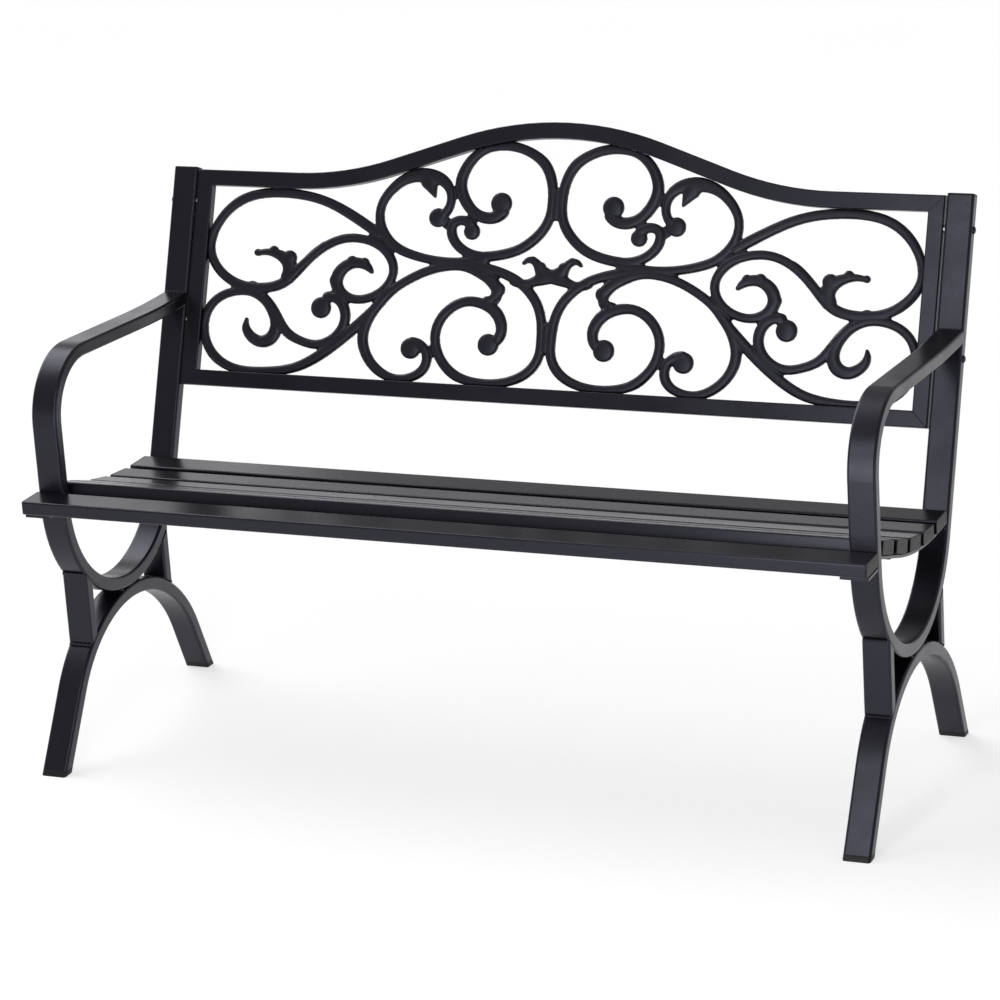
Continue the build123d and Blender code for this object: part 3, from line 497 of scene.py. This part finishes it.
def grow(bm, rim, radius, height):
    """Extrude the open rim, then set its new ring to a radius about Z and a height."""
    grown = bmesh.ops.extrude_edge_only(bm, edges=rim)["geom"]
    for vert in (item for item in grown if isinstance(item, bmesh.types.BMVert)):
        outward = Vector((vert.co.x, vert.co.y, 0.0)).normalized() * radius
        vert.co = Vector((outward.x, outward.y, height))
    return [item for item in grown if isinstance(item, bmesh.types.BMEdge)]


def button_head_bolt(length):
    """A bolt along -Z whose head stands on Z = 0, with its shank below."""
    bm = bmesh.new()
    bmesh.ops.create_circle(bm, cap_ends=True, segments=HEXAGON, radius=SOCKET_RADIUS)
    bmesh.ops.translate(bm, verts=bm.verts, vec=(0, 0, HEAD_HEIGHT - SOCKET_DEPTH))
    bmesh.ops.subdivide_edges(bm, edges=bm.edges, cuts=3)
    rim = [edge for edge in bm.edges if edge.is_boundary]
    walls = bmesh.ops.extrude_edge_only(bm, edges=rim)["geom"]
    raised = [item for item in walls if isinstance(item, bmesh.types.BMVert)]
    bmesh.ops.translate(bm, verts=raised, vec=(0, 0, SOCKET_DEPTH))
    rim = [item for item in walls if isinstance(item, bmesh.types.BMEdge)]
    start = SOCKET_RADIUS * 1.12
    for ring in range(DOME_RINGS + 1):
        part = ring / DOME_RINGS
        radius = start + (HEAD_RADIUS - start) * sin(part * pi / 2)
        height = LAND_HEIGHT + (HEAD_HEIGHT - LAND_HEIGHT) * cos(part * pi / 2)
        rim = grow(bm, rim, radius, height)
    rim = grow(bm, rim, HEAD_RADIUS, 0.0)
    rim = grow(bm, rim, SHANK_RADIUS, 0.0)
    rim = grow(bm, rim, SHANK_RADIUS, -length)
    bmesh.ops.holes_fill(bm, edges=rim, sides=0)
    bmesh.ops.recalc_face_normals(bm, faces=bm.faces)
    return bm


def drawn_bolts(name):
    """For each drawn bolt: where its head sits, where the head points, and its shank's length."""
    drawn = merged_copy(name)
    found = []
    for group in islands(drawn):
        points = np.array([vert.co for vert in group])
        middle = points.mean(axis=0)
        axis = np.linalg.svd(points - middle)[2][0]
        along = (points - middle) @ axis
        aside = np.linalg.norm(points - middle - np.outer(along, axis), axis=1)
        if along[aside.argmax()] < 0:
            axis, along = -axis, -along
        seat = along.max() - HEAD_HEIGHT
        found.append((Vector(middle + axis * seat), Vector(axis), float(seat - along.min())))
    drawn.free()
    return found


for name in ("back_bolts", "seat_bolts"):
    places = drawn_bolts(name)
    bm = bmesh.new()
    for seat, axis, length in places:
        one = button_head_bolt(length)
        one.transform(Matrix.Translation(seat) @ axis.to_track_quat("Z", "X").to_matrix().to_4x4())
        carried = bpy.data.meshes.new("bolt")
        one.to_mesh(carried)
        one.free()
        bm.from_mesh(carried)
        bpy.data.meshes.remove(carried)
    finish_piece(bm, f"button_head_{name}", "bolt_steel", name)
    print(len(places), "bolts,", round(places[0][2] / MM, 1), "mm shanks")

# %% [markdown]
# ## Plugs and glides
#
# The open ends of the tubes are closed with moulded polyethylene plugs. A mould can't hold
# a sharp rim, so each plug's edges are rounded by about half a millimetre or more. The drawn
# plugs have the right shape, so a copy only needs its flat faces joined up and its sharp
# edges bevelled. A bevel modifier would do the same, but then every edge gets the same width.

# %% Ease the edges of the plugs
EASE_ANGLE = radians(50)
FLAT_ANGLE = radians(1)


def eased(name, piece_name, slot, width, steps):
    """A copy of a drawn piece with its sharp edges rounded to a width."""
    bm = merged_copy(name)
    bmesh.ops.dissolve_limit(bm, angle_limit=FLAT_ANGLE, verts=bm.verts, edges=bm.edges)
    sharp = [edge for edge in bm.edges if edge.is_manifold and edge.calc_face_angle() > EASE_ANGLE]
    bmesh.ops.bevel(
        bm, geom=sharp, offset=width, offset_type="OFFSET", affect="EDGES", segments=steps,
        profile=0.5, material=-1, clamp_overlap=True)
    bmesh.ops.triangulate(bm, faces=[face for face in bm.faces if len(face.verts) > 4])
    return finish_piece(bm, piece_name, slot, name)


for side in ("left", "right"):
    eased(f"{side}_post_cap", f"{side}_moulded_post_plug", "plug_plastic", 0.8 * MM, 3)
    eased(f"{side}_slat_caps", f"{side}_moulded_slat_plugs", "plug_plastic", 0.7 * MM, 3)
    for end in ("front", "rear"):
        eased(f"{side}_{end}_foot_cap", f"{side}_{end}_glide", "plug_plastic", 0.8 * MM, 3)

# %% [markdown]
# ## Helpers for materials
#
# Colours are noted as the hex values a screen shows, and a renderer works in linear light,
# so one function turns the first into the second. Another adds a shader node together with
# its settings and links, which keeps each material readable from top to bottom.

# %% Colour and node helpers
def linear(hex_colour):
    """Linear RGBA of an sRGB hex colour."""
    values = [int(hex_colour[start:start + 2], 16) / 255 for start in (0, 2, 4)]
    return [v / 12.92 if v <= 0.04045 else ((v + 0.055) / 1.055) ** 2.4 for v in values] + [1.0]


def add(tree, kind, settings=None, links=None):
    """Add a node. Settings name its options or sockets, and links give the sockets' sources."""
    made = tree.nodes.new(kind)
    for key, value in (settings or {}).items():
        if isinstance(key, str) and hasattr(made, key):
            setattr(made, key, value)
        else:
            made.inputs[key].default_value = value
    for key, source in (links or {}).items():
        tree.links.new(source, made.inputs[key])
    return made


def new_material(name):
    """An empty material, its node tree and its output node."""
    material = bpy.data.materials.new(name)
    material.use_nodes = True
    tree = material.node_tree
    tree.nodes.clear()
    return material, tree, add(tree, "ShaderNodeOutputMaterial")


def per_metre(size_mm):
    """Pattern scale whose features are about size_mm apart."""
    return 1.0 / (size_mm * MM)


# %% [markdown]
# ## Powder coat on steel tube
#
# The tubes are coated with black polyester powder, sprayed on dry and baked at about 190 C.
# The powder melts into a film with a faint orange peel, and its gloss drifts a little with
# the film's thickness. That gives a soft, slightly violet sheen, with broad highlights. A
# dusty outdoor bench is paler on top, where dust settles, so faces that point up are
# lifted a little. The peel is about 2 mm from crest to crest on the real film and is drawn
# a little coarser, because 2 mm is hardly more than one point of the picture. The resin's
# index is 1.5, and its matting filler takes a little of that away.

# %% Powder coat
MIX_FACTOR, MIX_A, MIX_B, MIX_RESULT = 0, 6, 7, 2
COAT_IOR = 1.45
COAT_TINT = "e6e6ff"


def powder_coat(name, coat, dusty, gloss_range, peel_mm, peel_height_mm, lump_mm, lump_height_mm):
    """Baked black powder: drifting gloss, orange peel, the lumps that lie under it, and dust."""
    material, tree, output = new_material(name)
    place = add(tree, "ShaderNodeTexCoord").outputs["Object"]
    drift = add(
        tree, "ShaderNodeTexNoise", {"Scale": per_metre(90), "Detail": 3.0, "Roughness": 0.55},
        {"Vector": place})
    rubs = add(
        tree, "ShaderNodeTexNoise", {"Scale": per_metre(7), "Detail": 4.0, "Roughness": 0.7},
        {"Vector": place})
    both = add(
        tree, "ShaderNodeMath", {"operation": "MULTIPLY_ADD", 1: 0.3},
        {0: rubs.outputs["Fac"], 2: drift.outputs["Fac"]})
    gloss = add(
        tree, "ShaderNodeMapRange", {1: 0.45, 2: 0.85, 3: gloss_range[0], 4: gloss_range[1]},
        {0: both.outputs[0]})
    normal = add(tree, "ShaderNodeNewGeometry").outputs["Normal"]
    facing = add(tree, "ShaderNodeSeparateXYZ", links={0: normal})
    upturned = add(
        tree, "ShaderNodeMapRange", {1: 0.35, 2: 1.0, 3: 0.0, 4: 0.8}, {0: facing.outputs["Z"]})
    patches = add(
        tree, "ShaderNodeTexNoise", {"Scale": per_metre(28), "Detail": 6.0, "Roughness": 0.65},
        {"Vector": place})
    settled = add(
        tree, "ShaderNodeMapRange", {1: 0.35, 2: 0.8, 3: 0.05, 4: 1.0}, {0: patches.outputs["Fac"]})
    dust = add(
        tree, "ShaderNodeMath", {"operation": "MULTIPLY"}, {0: upturned.outputs[0], 1: settled.outputs[0]})
    colour = add(
        tree, "ShaderNodeMix", {"data_type": "RGBA", MIX_A: linear(coat), MIX_B: linear(dusty)},
        {MIX_FACTOR: dust.outputs[0]})
    peel = add(tree, "ShaderNodeTexNoise", {"Scale": per_metre(peel_mm), "Detail": 2.0}, {"Vector": place})
    fine = add(
        tree, "ShaderNodeBump", {"Distance": peel_height_mm * MM, "Strength": 1.0},
        {"Height": peel.outputs["Fac"]})
    lump = add(tree, "ShaderNodeTexNoise", {"Scale": per_metre(lump_mm), "Detail": 3.0}, {"Vector": place})
    surface = add(
        tree, "ShaderNodeBump", {"Distance": lump_height_mm * MM, "Strength": 1.0},
        {"Height": lump.outputs["Fac"], "Normal": fine.outputs["Normal"]})
    shader = add(
        tree, "ShaderNodeBsdfPrincipled", {"IOR": COAT_IOR, "Specular Tint": linear(COAT_TINT)},
        {"Base Color": colour.outputs[MIX_RESULT], "Roughness": gloss.outputs[0],
         "Normal": surface.outputs["Normal"]})
    tree.links.new(shader.outputs["BSDF"], output.inputs["Surface"])
    print(name, "ready")
    return material


# %% [markdown]
# One coat covers four kinds of metal, and each shows through it. Bent tube has long, faint
# waves. The slats are straight rolled tube, the flattest and calmest of all. Sand cast iron
# keeps its grain and small lumps, so its coat looks duller and soft. Weld metal is smooth,
# so its ripple catches small sharp lights.

# %% Coats on tube, slats, casting and welds
tube_coat = powder_coat(
    "satin_black_powder_coat_on_tube", "0e0e12", "17171b", (0.24, 0.36), 3.5, 0.02, 45, 0.12)
slat_coat = powder_coat(
    "satin_black_powder_coat_on_slats", "0e0e12", "121217", (0.26, 0.30), 4.5, 0.0015, 90, 0.01)
casting_coat = powder_coat(
    "powder_coated_sand_cast_iron", "0d0d10", "131316", (0.34, 0.48), 2.6, 0.06, 11, 0.30)
weld_coat = powder_coat(
    "powder_coated_weld_metal", "0d0d10", "131316", (0.26, 0.36), 2.0, 0.04, 6, 0.1)

# %% [markdown]
# ## Moulded plastic
#
# The plugs and glides are injection-moulded polyethylene, coloured through with carbon
# black. The mould is spark-eroded, which prints a fine even grain. The grain scatters part
# of the shine, so the plugs reflect less sharply than the coat and look dull beside it.

# %% Moulded polyethylene
PLASTIC_IOR = 1.35


def moulded_polyethylene(name):
    """Carbon-black polyethylene with the fine grain of a spark-eroded mould and a few scuffs."""
    material, tree, output = new_material(name)
    place = add(tree, "ShaderNodeTexCoord").outputs["Object"]
    grain = add(tree, "ShaderNodeTexNoise", {"Scale": per_metre(1.2), "Detail": 2.0}, {"Vector": place})
    scuffs = add(
        tree, "ShaderNodeTexNoise", {"Scale": per_metre(5), "Detail": 5.0, "Distortion": 1.2},
        {"Vector": place})
    worn = add(tree, "ShaderNodeMapRange", {1: 0.52, 2: 0.72, 3: 0.0, 4: 0.6}, {0: scuffs.outputs["Fac"]})
    colour = add(
        tree, "ShaderNodeMix", {"data_type": "RGBA", MIX_A: linear("101011"), MIX_B: linear("202022")},
        {MIX_FACTOR: worn.outputs[0]})
    gloss = add(tree, "ShaderNodeMapRange", {1: 0.0, 2: 0.6, 3: 0.48, 4: 0.62}, {0: worn.outputs[0]})
    bump = add(
        tree, "ShaderNodeBump", {"Distance": 0.04 * MM, "Strength": 1.0}, {"Height": grain.outputs["Fac"]})
    shader = add(
        tree, "ShaderNodeBsdfPrincipled", {"IOR": PLASTIC_IOR},
        {"Base Color": colour.outputs[MIX_RESULT], "Roughness": gloss.outputs[0],
         "Normal": bump.outputs["Normal"]})
    tree.links.new(shader.outputs["BSDF"], output.inputs["Surface"])
    print(name, "ready")
    return material


plug_plastic = moulded_polyethylene("moulded_black_polyethylene")

# %% [markdown]
# ## Black oxide and zinc
#
# The bolts are alloy steel with a black oxide finish, a thin conversion layer that is dark
# but still metal, so the highlights stay crisp. Washers and rivet nuts are zinc plated:
# bright, slightly blue, with a faint mottling from the plating bath.

# %% Fastener metals
def plated_steel(name, bright, dull, gloss_range, mottle_mm):
    """Metal whose colour and gloss wander between two states in small mottles."""
    material, tree, output = new_material(name)
    place = add(tree, "ShaderNodeTexCoord").outputs["Object"]
    mottle = add(
        tree, "ShaderNodeTexNoise", {"Scale": per_metre(mottle_mm), "Detail": 4.0}, {"Vector": place})
    state = add(tree, "ShaderNodeMapRange", {1: 0.35, 2: 0.65, 3: 0.0, 4: 1.0}, {0: mottle.outputs["Fac"]})
    colour = add(
        tree, "ShaderNodeMix", {"data_type": "RGBA", MIX_A: linear(bright), MIX_B: linear(dull)},
        {MIX_FACTOR: state.outputs[0]})
    gloss = add(
        tree, "ShaderNodeMapRange", {1: 0.0, 2: 1.0, 3: gloss_range[0], 4: gloss_range[1]},
        {0: state.outputs[0]})
    turned = add(tree, "ShaderNodeTexNoise", {"Scale": per_metre(0.5), "Detail": 1.0}, {"Vector": place})
    bump = add(
        tree, "ShaderNodeBump", {"Distance": 0.01 * MM, "Strength": 0.8}, {"Height": turned.outputs["Fac"]})
    shader = add(
        tree, "ShaderNodeBsdfPrincipled", {"Metallic": 1.0},
        {"Base Color": colour.outputs[MIX_RESULT], "Roughness": gloss.outputs[0],
         "Normal": bump.outputs["Normal"]})
    tree.links.new(shader.outputs["BSDF"], output.inputs["Surface"])
    print(name, "ready")
    return material


black_oxide = plated_steel("black_oxide_alloy_steel", "3a3a3d", "232325", (0.28, 0.45), 2.5)
zinc_plate = plated_steel("zinc_plated_steel", "b4b8bd", "8f9398", (0.25, 0.42), 3.0)

# %% [markdown]
# ## Dress every piece
#
# The record names a material slot for each drawn piece, so the finish follows the slot and
# no piece is forgotten. New pieces carry the slot they were given when they were made.

# %% Give each piece the finish of its slot
finishes = {
    "frame_steel": tube_coat, "slat_steel": slat_coat, "casting": casting_coat, "weld": weld_coat,
    "plug_plastic": plug_plastic, "bolt_steel": black_oxide, "zinc_steel": zinc_plate,
}
slot_of = {row["node"]: row["material_slot"] for row in frame["record"]["subparts"]}
for piece in [item for item in bpy.context.scene.objects if item.type == "MESH"]:
    slot = piece.get("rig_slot") or slot_of[piece.name]
    piece.data.materials.clear()
    piece.data.materials.append(finishes[slot])
print("dressed", len(finishes), "slots")

# %% [markdown]
# ## Floor
#
# The bench stands on a white studio floor that runs out of the picture. Real seamless
# paper is matt and slightly uneven, and it is so pale that only the soft shadows under the
# feet show where it is. Part of its white is a glow that only the camera and reflections
# see, so the paper stays pale without more light on the bench, and keeps the shadows.

# %% Seamless paper floor
FLOOR_HALF_SIZE = 20.0
BACKDROP_LEVEL = 1.26
BACKDROP_SHARE = 0.5


def seamless_paper(name):
    """Matt white paper with a faint tooth."""
    material, tree, output = new_material(name)
    place = add(tree, "ShaderNodeTexCoord").outputs["Object"]
    tooth = add(tree, "ShaderNodeTexNoise", {"Scale": per_metre(400), "Detail": 2.0}, {"Vector": place})
    colour = add(
        tree, "ShaderNodeMix", {"data_type": "RGBA", MIX_A: linear("f3f3f4"), MIX_B: linear("f7f7f7")},
        {MIX_FACTOR: tooth.outputs["Fac"]})
    lit = add(
        tree, "ShaderNodeBsdfPrincipled", {"Roughness": 0.9, "Specular IOR Level": 0.1},
        {"Base Color": colour.outputs[MIX_RESULT]})
    glow = add(tree, "ShaderNodeEmission", {"Color": linear("ffffff"), "Strength": BACKDROP_LEVEL})
    path = add(tree, "ShaderNodeLightPath").outputs
    mirrored = add(
        tree, "ShaderNodeMath", {"operation": "MAXIMUM"},
        {0: path["Is Glossy Ray"], 1: path["Is Transmission Ray"]})
    seen = add(
        tree, "ShaderNodeMath", {"operation": "MAXIMUM"}, {0: path["Is Camera Ray"], 1: mirrored.outputs[0]})
    share = add(tree, "ShaderNodeMath", {"operation": "MULTIPLY", 1: BACKDROP_SHARE}, {0: seen.outputs[0]})
    paper = add(
        tree, "ShaderNodeMixShader", links={0: share.outputs[0], 1: lit.outputs["BSDF"], 2: glow.outputs[0]})
    tree.links.new(paper.outputs[0], output.inputs["Surface"])
    return material


bm = bmesh.new()
bmesh.ops.create_grid(bm, x_segments=1, y_segments=1, size=FLOOR_HALF_SIZE)
floor_mesh = bpy.data.meshes.new("studio_floor")
bm.to_mesh(floor_mesh)
bm.free()
floor_mesh.materials.append(seamless_paper("white_seamless_paper"))
studio_floor = bpy.data.objects.new("studio_floor", floor_mesh)
bpy.context.scene.collection.objects.link(studio_floor)

# %% [markdown]
# ## Camera
#
# The camera stands to the right of the bench at head height and looks down on it through a
# long lens, as the sides of the bench hardly converge. Its place, turn and lens were solved
# from corners whose places on the bench are known, and it leans by under four degrees.

# %% Camera at the picture's place
LENS_MM = 133.74
CAMERA_PLACE = (2.047, -4.689, 2.032)
CAMERA_YAW, CAMERA_PITCH, CAMERA_LEAN = radians(23.67), radians(18.0), radians(-3.678)

ahead = Vector((-sin(CAMERA_YAW), cos(CAMERA_YAW), 0.0))
looking = ahead * cos(CAMERA_PITCH) - Vector((0.0, 0.0, sin(CAMERA_PITCH)))
sideways = Vector((cos(CAMERA_YAW), sin(CAMERA_YAW), 0.0))
upright = sideways.cross(looking)
right = sideways * cos(CAMERA_LEAN) + upright * sin(CAMERA_LEAN)
above = upright * cos(CAMERA_LEAN) - sideways * sin(CAMERA_LEAN)
turn = Matrix((right, above, -looking)).transposed().to_4x4()
camera_data = bpy.data.cameras.new("camera")
camera_data.lens = LENS_MM
camera = bpy.data.objects.new("camera", camera_data)
camera.matrix_world = Matrix.Translation(CAMERA_PLACE) @ turn
bpy.context.scene.collection.objects.link(camera)
bpy.context.scene.camera = camera
print("camera", camera_data.lens, "mm at", CAMERA_PLACE)

# %% [markdown]
# ## Light
#
# A white studio lights the bench from all round, so the world is an even, dim glow. Black
# satin shows little but reflections: the seat mirrors that glow, a large screen high on the
# left throws the soft shadows, a softbox behind it draws the top of the left arm, and two in
# front are what the right front post and the leaning right back post mirror.
#
# Just above the floor's far edge the world turns white, but only for the camera and for
# reflections. So no grey horizon shows from the side, and the bench gets no light from it.

# %% Set up the world
WORLD_LEVEL = 0.40
HORIZON_BAND = (0.06, 0.15)

world = bpy.data.worlds.new("pale_studio")
world.use_nodes = True
tree = world.node_tree
sky = tree.nodes["Background"].inputs
sky["Color"].default_value = linear("fdfdff")
direction = add(tree, "ShaderNodeTexCoord").outputs["Generated"]
elevation = add(tree, "ShaderNodeSeparateXYZ", links={0: direction}).outputs["Z"]
low_white = add(
    tree, "ShaderNodeMapRange", {1: HORIZON_BAND[0], 2: HORIZON_BAND[1], 3: 1.0, 4: WORLD_LEVEL},
    {0: elevation})
path = add(tree, "ShaderNodeLightPath").outputs
mirrored = add(
    tree, "ShaderNodeMath", {"operation": "MAXIMUM"},
    {0: path["Is Glossy Ray"], 1: path["Is Transmission Ray"]})
seen = add(
    tree, "ShaderNodeMath", {"operation": "MAXIMUM"}, {0: path["Is Camera Ray"], 1: mirrored.outputs[0]})
level = add(
    tree, "ShaderNodeMix", {"data_type": "FLOAT", 2: WORLD_LEVEL},
    {0: seen.outputs[0], 3: low_white.outputs[0]})
tree.links.new(level.outputs[0], sky["Strength"])
bpy.context.scene.world = world
bpy.context.scene.view_settings.view_transform = "Standard"
print("world level", WORLD_LEVEL)

# %% [markdown]
# A softbox is given its radiance, the brightness that its mirror image shows, and its power
# in watts follows from its size. The screen is a sun lamp with a wide disc instead, because
# an area lamp would light the near floor more than the far one and the paper would show it.

# %% Place the softboxes and the wide screen
SCREEN_LEVEL = 1.9
SCREEN_ANGLE = radians(50)
SCREEN_DIRECTION = (-0.70, 0.22, 0.67)


def softbox(name, place, target, width, height, radiance):
    """A flat lamp that faces a target and glows at a given radiance, whatever its size."""
    lamp = bpy.data.lights.new(name, "AREA")
    lamp.shape = "RECTANGLE"
    lamp.size = width
    lamp.size_y = height
    lamp.energy = radiance * pi * width * height
    box = bpy.data.objects.new(name, lamp)
    facing = (Vector(place) - Vector(target)).to_track_quat("Z", "Y").to_matrix().to_4x4()
    box.matrix_world = Matrix.Translation(place) @ facing
    box.visible_camera = False
    bpy.context.scene.collection.objects.link(box)
    print(name, round(lamp.energy, 1), "W")


softbox("softbox_front_right", (0.25, -2.0, 0.62), (0.45, 0.1, 0.62), 0.6, 1.15, 5.0)
softbox("softbox_high_front", (0.0, -2.4, 2.0), (0.6, 0.2, 0.7), 0.5, 0.9, 6.0)
softbox("softbox_behind_left", (-2.2, 2.5, 1.35), (-0.6, 0.0, 0.6), 1.1, 0.6, 1.3)

screen_light = bpy.data.lights.new("wide_screen", "SUN")
screen_light.energy = SCREEN_LEVEL
screen_light.angle = SCREEN_ANGLE
screen = bpy.data.objects.new("wide_screen", screen_light)
screen.matrix_world = Vector(SCREEN_DIRECTION).to_track_quat("Z", "Y").to_matrix().to_4x4()
bpy.context.scene.collection.objects.link(screen)
print("wide screen", screen_light.energy, "W/m2")
